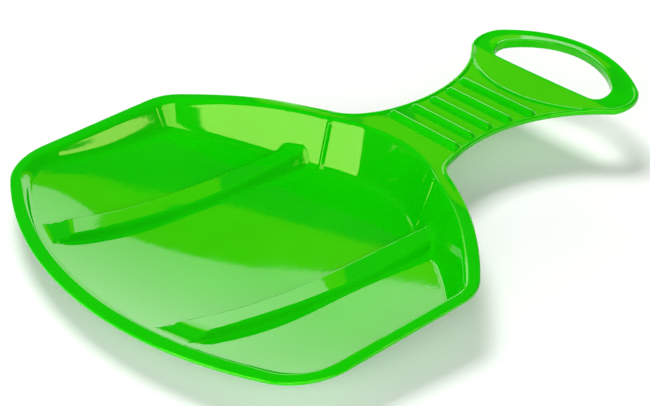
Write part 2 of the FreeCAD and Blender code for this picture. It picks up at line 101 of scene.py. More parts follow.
# Nearly level cut at a runner's tail end. It meets the floor at the stop and the crest at the break.
RUNNER_END = -3.6
RUNNER_END_SLOPE = 0.09
RUNNER_END_RUN = 40.0
RUNNER_END_SOFT = 1.0
RUNNER_STOP = -303.5
RUNNER_STOP_SKEW = 0.22
RUNNER_BREAK = -287.0
RUNNER_BREAK_SKEW = 0.33
# Tilt of the crest across, at the tail and at the front.
RUNNER_TILT = 0.1
RUNNER_FRONT_TILT = -0.01
RUNNER_TILT_START = -125.0
RUNNER_TILT_FADE = 90.0
# Softness of a runner's edges and foot, and how much of it is lost at the tail end.
RUNNER_EDGE_SOFT = 2.8
RUNNER_EDGE_CRISP = 1.8
RUNNER_FOOT_SOFT = 3.0
RUNNER_FOOT_CRISP = 2.2
RUNNER_CRISP = -255.0
RUNNER_CRISP_FADE = 22.0

# Softness at the foot of the wall and at the rim, both sharper at the tail. The sides' rim is softer.
FOOT_SOFT = 8.0
TAIL_FOOT = 1.0
RIM_SOFT = 3.8
TAIL_SOFT = 1.8
SIDE_SOFT = 2.5
SIDE_SOFT_X = 130.0
SIDE_SOFT_FADE = 25.0
# Beads down the front wall.
BEAD_X = 57.0
BEAD_SLANT = 0.22
BEAD_HALF = 2.3
BEAD_RISE = 1.3
BEAD_LIMIT = -130.0
BEAD_START = 1.6
BEAD_GROW = 2.0

# Lip along the neck and the loop, and tilt of the rim along the sides.
LIP_WIDTH = 3.0
LIP_BLEND = 1.4
LIP_RISE = 1.2
LIP_DROP = 1.0
LIP_START = -84.0
LIP_FADE = 26.0
RIM_TILT = 0.05
TILT_START = -236.0
TILT_GROW = 70.0
TILT_END = -100.0
TILT_FADE = 28.0
# Rounding of the outer edge and of the slot, in steps for each quarter turn.
EDGE_ROUND = 1.2
SLOT_ROUND = 1.0
EDGE_STEPS = 4
# Bead and skirt round the slot, and the ledge along its far side.
SLOT_BEAD_RISE = 0.2
SLOT_BEAD_WIDTH = 1.6
SLOT_BEAD_BLEND = 1.6
SKIRT_DROP = 3.4
SKIRT_WIDTH = 2.2
SKIRT_BLEND = 0.6
LEDGE_WIDTH = 6.6
LEDGE_WIDEN = 18.0
LEDGE_SLOPE = 0.25
LEDGE_START = 86.0
LEDGE_FADE = 16.0
LEDGE_SOFT = 0.8
# Raised oval plate of the handle.
OVAL_CENTRE = (0.0, 148.5)
OVAL_R = 100.0
OVAL_RISE = 0.9
OVAL_STEP = 1.4
OVAL_FADE = 30.0
OVAL_RIDGE = 1.6
OVAL_RIDGE_RISE = 0.45
OVAL_ENDS = 70.0
# Grip ribs.
RIB_PLACES = (-36.0, -18.0, 0.0, 18.0, 36.0)
RIB_HALF = 4.75
RIB_CLEAR = 1.0
RIB_RISE = 3.5
RIB_MARGIN = 4.0
RIB_FOOT = 0.7
RIB_SLOPE = 1.75
RIB_CROWN_SOFT = 3.4
OUT_OF_RIBS = -99.0

# Lines between the regions.
TAIL_LINE = -246.0
SIDE_LINE = -146.0
NECK_LINE = -62.0
HANDLE_LINE = 50.0
GRIP_LINE = 94.0
FRONT_LINE = 59.8

# Step for the differences that give the normals.
NORMAL_STEP = 0.04


def circles_meet(a, ra, b, rb, axis=1):
    """Of the two points at the distance ra from a and rb from b, the one further along an axis."""
    ax, ay = a
    bx, by = b
    gap = math.hypot(bx - ax, by - ay)
    along = (ra * ra - rb * rb + gap * gap) / (2 * gap)
    aside = math.sqrt(max(ra * ra - along * along, 0.0))
    ux, uy = (bx - ax) / gap, (by - ay) / gap
    found = [(ax + along * ux - s * aside * uy, ay + along * uy + s * aside * ux) for s in (1, -1)]
    return max(found, key=lambda p: p[axis])


def unit(a, b):
    """Unit vector from a towards b."""
    gap = math.hypot(b[0] - a[0], b[1] - a[1])
    return ((b[0] - a[0]) / gap, (b[1] - a[1]) / gap)


def angle(a, b):
    """Direction from a towards b."""
    return math.atan2(b[1] - a[1], b[0] - a[0])


# Centres of the rounded corners on the right-hand side.
tail_corner_x = HALF - TAIL_CORNER_R
tail_corner_drop = math.sqrt((TAIL_R - TAIL_CORNER_R) ** 2 - tail_corner_x ** 2)
tail_corner = (tail_corner_x, TAIL_CENTRE[1] - tail_corner_drop)
side_corner_x = HALF - SHOULDER_CORNER_R
side_corner_aside = side_corner_x - SHOULDER_CENTRE[0]
side_corner_rise = math.sqrt((SHOULDER_R - SHOULDER_CORNER_R) ** 2 - side_corner_aside ** 2)
side_corner = (side_corner_x, SHOULDER_CENTRE[1] + side_corner_rise)
neck_fillet = circles_meet(SHOULDER_CENTRE, SHOULDER_R + NECK_FILLET_R, NECK_CENTRE, NECK_R - NECK_FILLET_R)
loop_corner = circles_meet(NECK_CENTRE, NECK_R + LOOP_CORNER_R, TIP_CENTRE, TIP_R - LOOP_CORNER_R)
slot_corner_y = SLOT_EDGE + SLOT_CORNER_R
slot_corner_x = math.sqrt((SLOT_R - SLOT_CORNER_R) ** 2 - (slot_corner_y - SLOT_CENTRE[1]) ** 2)
slot_corner = (slot_corner_x, slot_corner_y)


def in_wedge(x, y, apex, first, last):
    """True between two directions from apex, counterclockwise from first to last."""
    vx, vy = x - apex[0], y - apex[1]
    return (first[0] * vy - first[1] * vx >= 0) & (vx * last[1] - vy * last[0] >= 0)


def pan_inset(x, y):
    """Distance inward from the edge of the pan."""
    x = np.abs(x)
    tail = TAIL_R - np.hypot(x - TAIL_CENTRE[0], y - TAIL_CENTRE[1])
    shoulder = SHOULDER_R - np.hypot(x - SHOULDER_CENTRE[0], y - SHOULDER_CENTRE[1])
    front = FRONT_R - np.hypot(x - FRONT_CENTRE[0], y - FRONT_CENTRE[1])
    ahead = (x < FRONT_MIDDLE) & (y > FRONT_CENTRE[1])
    head = np.where(ahead, front, smooth_max(shoulder, front, FRONT_BLEND))
    inset = np.minimum(np.minimum(tail, HALF - x), head)
    wedge = in_wedge(x, y, tail_corner, unit(TAIL_CENTRE, tail_corner), (1.0, 0.0))
    inset = np.where(wedge, TAIL_CORNER_R - np.hypot(x - tail_corner[0], y - tail_corner[1]), inset)
    wedge = in_wedge(x, y, side_corner, (1.0, 0.0), unit(SHOULDER_CENTRE, side_corner))
    return np.where(wedge, SHOULDER_CORNER_R - np.hypot(x - side_corner[0], y - side_corner[1]), inset)


def sheet_inset(x, y):
    """Distance inward from the edge of the whole moulding."""
    inset = pan_inset(x, y)
    x = np.abs(x)
    hollow = np.hypot(x - NECK_CENTRE[0], y - NECK_CENTRE[1]) - NECK_R
    tip = TIP_R - np.hypot(x - TIP_CENTRE[0], y - TIP_CENTRE[1])
    neck = np.minimum(hollow, tip)
    wedge = in_wedge(x, y, loop_corner, unit(loop_corner, NECK_CENTRE), unit(TIP_CENTRE, loop_corner))
    neck = np.where(wedge, LOOP_CORNER_R - np.hypot(x - loop_corner[0], y - loop_corner[1]), neck)
    inset = np.maximum(inset, neck)
    wedge = in_wedge(x, y, neck_fillet, unit(NECK_CENTRE, neck_fillet), unit(neck_fillet, SHOULDER_CENTRE))
    near = np.hypot(x - neck_fillet[0], y - neck_fillet[1])
    return np.where(wedge & (near < NECK_FILLET_REACH), near - NECK_FILLET_R, inset)


def slot_depth(x, y):
    """Distance into the hand slot, negative in the sheet round it."""
    x = np.abs(x)
    depth = np.minimum(y - SLOT_EDGE, SLOT_R - np.hypot(x - SLOT_CENTRE[0], y - SLOT_CENTRE[1]))
    wedge = in_wedge(x, y, slot_corner, (0.0, -1.0), unit(SLOT_CENTRE, slot_corner))
    return np.where(wedge, SLOT_CORNER_R - np.hypot(x - slot_corner[0], y - slot_corner[1]), depth)


def ramp(t, soft):
    """Zero before t = 0 and t after it, with a soft bend."""
    return np.where(t < -soft, 0.0, np.where(t > soft, t, (t + soft) ** 2 / (4 * soft)))


def smooth_max(a, b, soft):
    """Larger of two heights, with a fillet where they meet."""
    near = np.maximum(soft - np.abs(a - b), 0.0)
    return np.maximum(a, b) + near * near / (4 * soft)


def smooth_min(a, b, soft):
    """Smaller of two heights, rounded off where they meet."""
    return -smooth_max(-a, -b, soft)


def smooth_step(t):
    """Even rise from 0 at t = 0 to 1 at t = 1."""
    t = np.clip(t, 0.0, 1.0)
    return t * t * (3 - 2 * t)


def sheet_height(y):
    """Height of the rim's sheet, the neck and the loop along the sled."""
    z = np.zeros_like(y)
    for place, after, before, soft in BENDS:
        change = math.tan(math.radians(after)) - math.tan(math.radians(before))
        z = z + change * ramp(y - place, soft)
    return z


def floor_height(x, y):
    """Dished floor of the pan on its keel."""
    straight = -KEEL_DEPTH - (y - KEEL_TURN) * KEEL_SLOPE
    middle_y = KEEL_TURN + KEEL_R * math.sin(PITCH)
    middle_z = -KEEL_DEPTH + KEEL_R * math.cos(PITCH)
    back = np.minimum(y, KEEL_TURN)
    curve = middle_z - np.sqrt(KEEL_R ** 2 - (back - middle_y) ** 2)
    return np.where(y > KEEL_TURN, straight, curve) + x * x / (2 * DISH_R)


def runner_crisp(y):
    """Rises from 0 to 1 towards a runner's tail end, where its edges are sharper."""
    return smooth_step((RUNNER_CRISP - y) / RUNNER_CRISP_FADE)


def runner_height(x, y):
    """Crest, cut end and drafted flanks of the runners."""
    back = np.minimum(y, RUNNER_TURN)
    top = RUNNER_R - RUNNER_DEPTH - np.sqrt(RUNNER_R ** 2 - (back - RUNNER_TURN) ** 2)
    aside = np.abs(x) - RUNNER_X
    share = smooth_step((RUNNER_TILT_START - y) / RUNNER_TILT_FADE)
    tilt = RUNNER_FRONT_TILT + (RUNNER_TILT - RUNNER_FRONT_TILT) * share
    end = RUNNER_END - RUNNER_END_SLOPE * np.clip(y - RUNNER_STOP, 0.0, RUNNER_END_RUN)
    top = smooth_min(top + tilt * aside, end, RUNNER_END_SOFT)
    flank = ground_height(x, y) + (RUNNER_BASE - np.abs(aside)) / RUNNER_LEAN
    return smooth_min(top, flank, RUNNER_EDGE_SOFT - RUNNER_EDGE_CRISP * runner_crisp(y))


def tail_middle(x):
    """One along the middle of the tail, falling to zero at its corners."""
    return 1 - smooth_step((np.abs(x) - TAIL_HALF) / TAIL_FADE)


def tail_fill(x, y):
    """Rise of the floor where it runs up into the rim of the tail."""
    gap = TAIL_R - np.hypot(x - TAIL_CENTRE[0], y - TAIL_CENTRE[1])
    return TAIL_FILL * tail_middle(x) * ramp(1 - (gap - FLANGE) / TAIL_FILL_WIDTH, TAIL_FILL_SOFT)


def ground_height(x, y):
    """Floor of the pan with its fill at the tail, without the runners."""
    return floor_height(x, y) + tail_fill(x, y)


def bead_rise(x, inset):
    """Upright half-round bead at each end of the front wall."""
    aside = np.abs(x) - (BEAD_X - BEAD_SLANT * (inset - FLANGE))
    bead = BEAD_RISE * (0.5 + 0.5 * np.cos(np.pi * np.clip(aside / BEAD_HALF, -1.0, 1.0)))
    return bead * smooth_step((inset - FLANGE - BEAD_START) / BEAD_GROW)


def wall_height(x, y):
    """Leaning wall of the pan with its beads."""
    inset = pan_inset(x, y)
    bead = bead_rise(x, inset) * (y > BEAD_LIMIT)
    return -(inset - bead - FLANGE) / DRAFT


def plain_wall(x, y):
    """Leaning wall of the pan without its beads."""
    return -(pan_inset(x, y) - FLANGE) / DRAFT


def base_height(x, y):
    """Top of the moulding: sheet, wall, floor and runners, without edges, slot trim, oval and ribs."""
    share = tail_middle(x) * (y < KEEL_TURN)
    runner_foot = RUNNER_FOOT_SOFT - RUNNER_FOOT_CRISP * runner_crisp(y)
    floor = smooth_max(ground_height(x, y), runner_height(x, y), runner_foot)
    pan = smooth_max(wall_height(x, y), floor, FOOT_SOFT + (TAIL_FOOT - FOOT_SOFT) * share)
    round_off = RIM_SOFT + SIDE_SOFT * smooth_step((np.abs(x) - SIDE_SOFT_X) / SIDE_SOFT_FADE)
    return smooth_min(sheet_height(y), pan, round_off + (TAIL_SOFT - round_off) * share)


def lip_share(x, y):
    """One on the lip of the outer edge, zero inside it."""
    return smooth_step((LIP_WIDTH + LIP_BLEND / 2 - sheet_inset(x, y)) / LIP_BLEND)


def edge_rise(x, y):
    """Rise of the rim's outer edge along the sides, and a narrow lip along the neck and the loop."""
    inset = sheet_inset(x, y)
    share = smooth_step((y - TILT_START) / TILT_GROW) * (1 - smooth_step((y - TILT_END) / TILT_FADE))
    tilt = RIM_TILT * np.clip(FLANGE - inset, 0.0, FLANGE) * share
    return tilt + LIP_RISE * lip_share(x, y) * smooth_step((y - LIP_START) / LIP_FADE)


def grip_ledge(x, y):
    """Level ledge along the far side of the hand slot, below the raised grip."""
    outset = -slot_depth(x, y)
    away = np.hypot(x - SLOT_CENTRE[0], y - SLOT_CENTRE[1])
    facing = np.clip((y - SLOT_CENTRE[1]) / np.maximum(away, 1.0), 0.0, 1.0)
    share = smooth_step((y - LEDGE_START) / LEDGE_FADE)
    width = LEDGE_WIDTH + LEDGE_WIDEN * (1 - facing)
    return LEDGE_SLOPE * facing * share * ramp(width - outset, LEDGE_SOFT)


def neck_half(y):
    """Half the width of the neck at a place along it."""
    return NECK_CENTRE[0] - math.sqrt(NECK_R ** 2 - (y - NECK_CENTRE[1]) ** 2)


def rib_reach(place):
    """Distance from the middle to the centre of a rib's round end."""
    return neck_half(place) - RIB_MARGIN - RIB_HALF


def rib_depth(x, y):
    """Distance into the nearest grip rib."""
    depth = np.full_like(x, OUT_OF_RIBS)
    for place in RIB_PLACES:
        along = np.maximum(np.abs(x) - rib_reach(place), 0.0)
        depth = np.maximum(depth, RIB_HALF - np.hypot(along, y - place))
    return depth


def rib_height(x, y):
    """Rise of the grip ribs over the plate."""
    depth = np.clip(rib_depth(x, y), 0.0, RIB_HALF)
    rise = RIB_SLOPE * ramp(depth - RIB_FOOT, RIB_FOOT)
    return smooth_min(rise, np.full_like(rise, RIB_RISE), RIB_CROWN_SOFT)


def oval_rise(x, y):
    """Step up to the handle's oval plate, which falls back to the sheet towards the slot."""
    depth = OVAL_R - np.hypot(x - OVAL_CENTRE[0], y - OVAL_CENTRE[1])
    depth = np.maximum(depth, y - OVAL_ENDS)
    fade = np.clip(1 - depth / OVAL_FADE, 0.0, 1.0)
    ridge = 0.5 + 0.5 * np.cos(np.pi * np.clip(depth / OVAL_RIDGE, -1.0, 1.0))
    step = smooth_step((depth + OVAL_STEP / 2) / OVAL_STEP)
    return (OVAL_RISE * step + OVAL_RIDGE_RISE * ridge) * fade


def slot_bead(x, y):
    """Low bead round the hand slot."""
    outset = -slot_depth(x, y)
    return SLOT_BEAD_RISE * smooth_step((SLOT_BEAD_WIDTH + SLOT_BEAD_BLEND / 2 - outset) / SLOT_BEAD_BLEND)


def plate_height(x, y):
    """Top of the moulding without the ribs."""
    return base_height(x, y) + edge_rise(x, y) + oval_rise(x, y) + slot_bead(x, y) + grip_ledge(x, y)


def full_height(x, y):
    """Top of the moulding with the ribs."""
    return plate_height(x, y) + rib_height(x, y)


def normals(height, x, y, step=NORMAL_STEP):
    """Unit normals of a height, by differences."""
    dx = (height(x + step, y) - height(x - step, y)) / (2 * step)
    dy = (height(x, y + step) - height(x, y - step)) / (2 * step)
    out = np.stack([-dx, -dy, np.ones_like(dx)], 1)
    return out / np.linalg.norm(out, axis=1)[:, None]


# Points along the outlines: spacing, closer round tight corners and along ribs, and counts on some arcs.
SPACING = 3.0
TIGHT_SPACING = 2.0
RIB_SPACING = 2.6
SHOULDER_STEPS = 50
FRONT_STEPS = 26
SLOT_END_STEPS = 14
SLOT_ARC_STEPS = 44
RIB_END_POINTS = 11
OVAL_ARC_STEPS = 60
# Halvings that find where two surfaces meet, and the digits that points are rounded to.
HALVINGS = 40
SNAP_DIGITS = 6
# Rings of loose points: insets from the edges, outsets from the slot and depths inside a rib.
SHEET_INSETS = (2.0, 2.5, 2.9, 3.3, 3.7, 4.3, 5.0, 5.8, 6.6, 7.2)
PAN_INSETS = (7.8, 8.2, 8.6, 9.0, 9.7, 10.1, 10.5, 11.0, 11.6, 12.3, 13.1, 14.0, 15.0, 16.0, 17.0, 18.0, 19.0,
              20.0, 21.0, 22.0, 23.0, 24.0, 25.0, 26.0, 27.0, 28.0, 29.0)
SLOT_OUTSETS = (1.3, 1.6, 2.0, 2.4, 2.9, 3.6, 4.4, 5.2, 5.8, 6.2, 6.6, 7.0, 7.4)
RIB_DEPTHS = (0.35, 0.7, 1.05, 1.4, 1.8, 2.2, 2.7, 3.3, 4.0, RIB_HALF)
# Rows down the front wall: shares of a bead's half width, insets, and a place ahead of the wall.
BEAD_SHARES = (-1.0, -0.75, -0.5, -0.25, 0.0, 0.25, 0.5, 0.75, 1.0)
BEAD_INSETS = np.arange(FLANGE + 1.2, 27.0, 0.9)
BEAD_FRONT = -55.0
# Points of the runners: their feet, rows beside the middle line, and rows across at the stop and the break.
RUNNER_FOOT_ROWS = np.arange(-300.0, -84.0, 2.5)
RUNNER_ROWS = np.arange(-312.0, -86.0, 2.6)
RUNNER_ROWS_INSET = 29.4
RUNNER_OFFSETS = (0.0, 2.4, 4.2, 5.2, 6.0, 6.8, 7.6, 8.4, 9.3, 10.2, 11.1, 12.0, 13.0, 14.2, 15.8, 17.6)
RUNNER_ACROSS = np.arange(-15.0, 15.1, 1.2)
RUNNER_STOP_OFFSETS = (-2.0, -1.2, -0.6, 0.0, 0.6, 1.2, 2.0, 3.0)
RUNNER_BREAK_OFFSETS = (-1.6, -1.1, -0.6, -0.2, 0.2, 0.6, 1.1, 1.6)
# Arcs along the edge of the oval plate, clear of the outer edge and the ribs.
OVAL_OFFSETS = (-1.7, -1.2, -0.8, -0.4, 0.0, 0.4, 0.8, 1.2, 1.7)
OVAL_START = math.radians(-132.0)
OVAL_END = math.radians(-48.0)
OVAL_EDGE_CLEAR = 3.0
OVAL_RIB_CLEAR = 0.4
# Cuts between regions on both sides: place along the sled, and the two ends from the middle.
SIDE_CUTS = ((TAIL_LINE, 100.0, 180.0), (SIDE_LINE, 100.0, 180.0), (NECK_LINE, 0.0, 100.0),
             (HANDLE_LINE, 0.0, 90.0), (GRIP_LINE, 30.0, 130.0))
FRONT_CUT = (-118.0, -66.0)
# Filler grid of even triangles: step, step between rows, and how clear it stays of the other points.
FILL = 2.7
FILL_ROW = FILL * 0.866
FILL_BACK = -330.0
FILL_LENGTH = 470.0
FILL_PAN_INSET = 30.0
FILL_RUNNER_CLEAR = 18.6
FILL_NECK_INSET = 7.8
FILL_EDGE_CLEAR = 8.2
FILL_SLOT_CLEAR = 8.0
FILL_RIB_CLEAR = 0.8
FILL_OVAL_CLEAR = 2.4
# Gap that loose points keep from a cut or an outline, measured at these shares of each of its steps.
LINE_GAP = 0.34
LINE_SHARES = (0.0, 0.33, 0.67)
# Tolerance of the triangulation, and the least area that counts.
PLAN_TOLERANCE = 1e-5
LEAST_AREA = 1e-7
# Least distance when two edge directions are weighed by nearness.
LEAST_GAP = 1e-6


# Outlines, as chains of arcs and lines on the right from the tail's middle to the tip's middle.
def arc_points(centre, radius, start, end, count):
    """Points along an arc, with both its ends."""
    turn = np.linspace(start, end, count + 1)
    return np.stack([centre[0] + radius * np.cos(turn), centre[1] + radius * np.sin(turn)], 1)


def count_for(length, spacing=SPACING):
    """Number of steps along a length."""
    return max(int(round(length / spacing)), 2)


def pan_back(inset):
    """Tail, tail corner, side and side corner of the rim, at an inset."""
    a = angle(TAIL_CENTRE, tail_corner)
    b = angle(SHOULDER_CENTRE, side_corner)
    parts = [
        arc_points(TAIL_CENTRE, TAIL_R - inset, -math.pi / 2, a, count_for((a + math.pi / 2) * TAIL_R)),
        arc_points(tail_corner, TAIL_CORNER_R - inset, a, 0.0, count_for(-a * TAIL_CORNER_R)),
    ]
    rows = count_for(side_corner[1] - tail_corner[1])
    y = np.linspace(tail_corner[1], side_corner[1], rows + 1)
    parts.append(np.stack([np.full_like(y, HALF - inset), y], 1))
    parts.append(arc_points(side_corner, SHOULDER_CORNER_R - inset, 0.0, b, count_for(b * SHOULDER_CORNER_R)))
    return parts


def mirrored(parts):
    """The whole closed ring from the parts of its right half."""
    right = np.concatenate([parts[0]] + [part[1:] for part in parts[1:]])
    left = right[1:-1][::-1] * np.array([-1.0, 1.0])
    return np.concatenate([right, left])


def sheet_ring(inset):
    """Edge of the whole moulding, at an inset."""
    a = angle(SHOULDER_CENTRE, side_corner)
    b = angle(SHOULDER_CENTRE, neck_fillet)
    parts = pan_back(inset)
    parts.append(arc_points(SHOULDER_CENTRE, SHOULDER_R - inset, a, b, count_for((b - a) * SHOULDER_R)))
    start = angle(neck_fillet, SHOULDER_CENTRE)
    end = angle(NECK_CENTRE, neck_fillet)
    if end > start:
        end -= 2 * math.pi
    parts.append(arc_points(neck_fillet, NECK_FILLET_R + inset, start, end,
                            count_for((start - end) * NECK_FILLET_R, TIGHT_SPACING)))
    start = angle(NECK_CENTRE, neck_fillet) % (2 * math.pi)
    end = angle(NECK_CENTRE, loop_corner) % (2 * math.pi)
    parts.append(arc_points(NECK_CENTRE, NECK_R + inset, start, end, count_for((start - end) * NECK_R)))
    start = angle(loop_corner, NECK_CENTRE)
    end = angle(TIP_CENTRE, loop_corner)
    parts.append(arc_points(loop_corner, LOOP_CORNER_R - inset, start, end,
                            count_for((end - start) * LOOP_CORNER_R, TIGHT_SPACING)))
    start = angle(TIP_CENTRE, loop_corner)
    parts.append(arc_points(TIP_CENTRE, TIP_R - inset, start, math.pi / 2,
                            count_for((math.pi / 2 - start) * TIP_R)))
    return mirrored(parts)


def pan_ring(inset):
    """Edge of the pan alone, at an inset."""
    corner = circles_meet(SHOULDER_CENTRE, SHOULDER_R - inset, FRONT_CENTRE, FRONT_R - inset, 0)
    parts = pan_back(inset)
    a = angle(SHOULDER_CENTRE, side_corner)
    b = angle(SHOULDER_CENTRE, corner)
    parts.append(arc_points(SHOULDER_CENTRE, SHOULDER_R - inset, a, b, SHOULDER_STEPS))
    a = angle(FRONT_CENTRE, corner)
    parts.append(arc_points(FRONT_CENTRE, FRONT_R - inset, a, math.pi / 2, FRONT_STEPS))
    return mirrored(parts)


def halved(low, high, holds):
    """Close in on the places between low, where a test holds, and high, where it doesn't."""
    for turn in range(HALVINGS):
        middle = (low + high) / 2
        held = holds(middle)
        low = np.where(held, middle, low)
        high = np.where(held, high, middle)
    return low, high


def bead_row(side, offset):
    """Points down the front wall, at an offset beside a bead's middle."""
    x = BEAD_X - BEAD_SLANT * (BEAD_INSETS - FLANGE) + offset
    low = np.full_like(x, BEAD_LIMIT)
    high = np.full_like(x, BEAD_FRONT)
    low, high = halved(low, high, lambda y: pan_inset(x, y) > BEAD_INSETS)
    return np.stack([side * x, low], 1)


def slot_ring(outset):
    """Edge of the hand slot, at an outset into the sheet."""
    y = SLOT_EDGE - outset
    count = count_for(2 * slot_corner[0])
    x = np.linspace(-slot_corner[0], slot_corner[0], count + 1)[:-1]
    parts = [np.stack([x, np.full_like(x, y)], 1)]
    a = angle(SLOT_CENTRE, slot_corner)
    ends = arc_points(slot_corner, SLOT_CORNER_R + outset, -math.pi / 2, a, SLOT_END_STEPS)
    parts.append(ends[:-1])
    parts.append(arc_points(SLOT_CENTRE, SLOT_R + outset, a, math.pi - a, SLOT_ARC_STEPS)[:-1])
    parts.append((ends * np.array([-1.0, 1.0]))[::-1][:-1])
    return np.concatenate(parts)


def rib_ring(place, depth):
    """Stadium at a depth inside a rib."""
    reach = rib_reach(place)
    radius = max(RIB_HALF - depth, 0.0)
    turn = np.linspace(-math.pi / 2, math.pi / 2, RIB_END_POINTS)
    right = np.stack([reach + radius * np.cos(turn), place + radius * np.sin(turn)], 1)
    count = count_for(2 * reach, RIB_SPACING)
    x = np.linspace(reach, -reach, count + 1)[1:-1]
    far = np.stack([x, np.full_like(x, place + radius)], 1)
    left = right[::-1] * np.array([-1.0, 1.0])
    near = np.stack([x[::-1], np.full_like(x, place - radius)], 1)
    return np.concatenate([right, far, left, near])


# Points and constrained lines of the plan, snapped so that points in a row make no sliver between them.
fixed = []
lines = []
loose = []


def snapped(x, y):
    """A point of the plan, rounded."""
    return (round(float(x), SNAP_DIGITS), round(float(y), SNAP_DIGITS))


def add_chain(points, closed):
    """Add points that constrained lines join, in a ring or an open row."""
    start = len(fixed)
    fixed.extend(snapped(x, y) for x, y in points)
    count = len(points)
    lines.extend((start + i, start + i + 1) for i in range(count - 1))
    if closed:
        lines.append((start + count - 1, start))


def add_straight(start, end):
    """Add a straight row between two points."""
    gap = math.hypot(end[0] - start[0], end[1] - start[1])
    share = np.linspace(0.0, 1.0, count_for(gap, TIGHT_SPACING) + 1)[:, None]
    add_chain(np.array(start) + (np.array(end) - np.array(start)) * share, False)


def foot_of_wall():
    """Ring where the wall meets the floor, followed inward from the opening's edge."""
    ring = pan_ring(FLANGE)
    inward_way = pan_ring(PAN_INSETS[-1]) - ring

    def above(share):
        """True where the wall is still above the floor and the runners."""
        x, y = (ring + inward_way * share[:, None]).T
        return plain_wall(x, y) > np.maximum(floor_height(x, y), runner_height(x, y))

    low, high = halved(np.zeros(len(ring)), np.ones(len(ring)), above)
    return ring + inward_way * ((low + high) / 2)[:, None]


def above_ground(x, y):
    """True where a runner stands above the floor."""
    return runner_height(x, y) > ground_height(x, y)


def foot_of_runner(side, way):
    """One long edge of a runner, where its flank meets the floor."""
    rows = RUNNER_FOOT_ROWS
    reach = np.full_like(rows, RUNNER_REACH)
    low, high = halved(np.zeros_like(rows), reach, lambda aside: above_ground(RUNNER_X + way * aside, rows))
    return np.stack([side * (RUNNER_X + way * (low + high) / 2), rows], 1)


outer_edge = sheet_ring(EDGE_ROUND)
slot_edge = slot_ring(SLOT_ROUND)
for ring in (outer_edge, slot_edge, pan_ring(FLANGE), foot_of_wall()):
    add_chain(ring, True)
for side in (-1, 1):
    for way in (-1, 1):
        add_chain(foot_of_runner(side, way), False)
for place in RIB_PLACES:
    add_chain(rib_ring(place, 0.0), True)
for y, inner, outer in SIDE_CUTS:
    add_straight((-outer, y), (-inner, y))
    add_straight((inner, y), (outer, y))
for side in (-1, 1):
    add_straight((side * FRONT_LINE, FRONT_CUT[0]), (side * FRONT_LINE, FRONT_CUT[1]))

loose.extend(sheet_ring(inset) for inset in SHEET_INSETS)
loose.extend(pan_ring(inset) for inset in PAN_INSETS)
loose.extend(slot_ring(outset) for outset in SLOT_OUTSETS)
for side in (-1, 1):
    loose.extend(bead_row(side, share * BEAD_HALF) for share in BEAD_SHARES)
for place in RIB_PLACES:
    loose.extend(rib_ring(place, depth) for depth in RIB_DEPTHS)
for side in (-1, 1):
    for offset in RUNNER_OFFSETS:
        for way in ((-1, 1) if offset else (1,)):
            x = np.full_like(RUNNER_ROWS, side * (RUNNER_X + way * offset))
            keep = pan_inset(x, RUNNER_ROWS) > RUNNER_ROWS_INSET
            loose.append(np.stack([x, RUNNER_ROWS], 1)[keep])
for side in (-1, 1):
    for place, skew, offsets in ((RUNNER_STOP, RUNNER_STOP_SKEW, RUNNER_STOP_OFFSETS),
                                 (RUNNER_BREAK, RUNNER_BREAK_SKEW, RUNNER_BREAK_OFFSETS)):
        for offset in offsets:
            y = place + skew * RUNNER_ACROSS + offset
            loose.append(np.stack([side * (RUNNER_X + RUNNER_ACROSS), y], 1))

count_x = int(2 * HALF / FILL)
count_y = int(FILL_LENGTH / FILL_ROW)
grid = np.array([(-HALF + FILL * (i + 0.5 * (j % 2)), FILL_BACK + FILL_ROW * j)
                 for j in range(count_y) for i in range(count_x)])
gx, gy = grid[:, 0], grid[:, 1]
pan_gap = pan_inset(gx, gy)
floor_fill = (pan_gap > FILL_PAN_INSET) & (np.abs(np.abs(gx) - RUNNER_X) > FILL_RUNNER_CLEAR)
oval_gap = np.abs(np.hypot(gx - OVAL_CENTRE[0], gy - OVAL_CENTRE[1]) - OVAL_R)
neck_fill = (pan_gap < FILL_NECK_INSET) & (sheet_inset(gx, gy) > FILL_EDGE_CLEAR)
neck_fill &= (slot_depth(gx, gy) < -FILL_SLOT_CLEAR) & (rib_depth(gx, gy) < -FILL_RIB_CLEAR)
neck_fill &= (oval_gap > FILL_OVAL_CLEAR) | (gy > OVAL_ENDS)
loose.append(grid[floor_fill | neck_fill])
for offset in OVAL_OFFSETS:
    arc = arc_points(OVAL_CENTRE, OVAL_R + offset, OVAL_START, OVAL_END, OVAL_ARC_STEPS)
    x, y = arc.T
    clear = (sheet_inset(x, y) > OVAL_EDGE_CLEAR) & (rib_depth(x, y) < -OVAL_RIB_CLEAR)
    loose.append(arc[clear])

# Loose points too near a constrained line are left out.
line_points = []
for a, b in lines:
    start, end = np.array(fixed[a]), np.array(fixed[b])
    line_points.extend(start + (end - start) * share for share in LINE_SHARES)
line_tree = KDTree(len(line_points))
for index, (x, y) in enumerate(line_points):
    line_tree.insert((x, y, 0.0), index)
line_tree.balance()
points = list(fixed)
for ring in loose:
    points.extend(snapped(x, y) for x, y in ring if line_tree.find((x, y, 0.0))[2] > LINE_GAP)

# Triangles of the plan, all turned the same way.
made = delaunay_2d_cdt([Vector(p) for p in points], lines, [], 0, PLAN_TOLERANCE, False)
plan = np.array([(v[0], v[1]) for v in made[0]])
corner = np.array([face for face in made[2] if len(face) == 3])
middle = plan[corner].mean(axis=1)
u = plan[corner[:, 1]] - plan[corner[:, 0]]
v = plan[corner[:, 2]] - plan[corner[:, 0]]
area = u[:, 0] * v[:, 1] - u[:, 1] * v[:, 0]
mx, my = middle[:, 0], middle[:, 1]
keep = (sheet_inset(mx, my) > EDGE_ROUND) & (slot_depth(mx, my) < -SLOT_ROUND) & (np.abs(area) > LEAST_AREA)
corner = corner[keep]
flip = area[keep] < 0
corner[flip] = corner[flip][:, ::-1]
mx, my = mx[keep], my[keep]

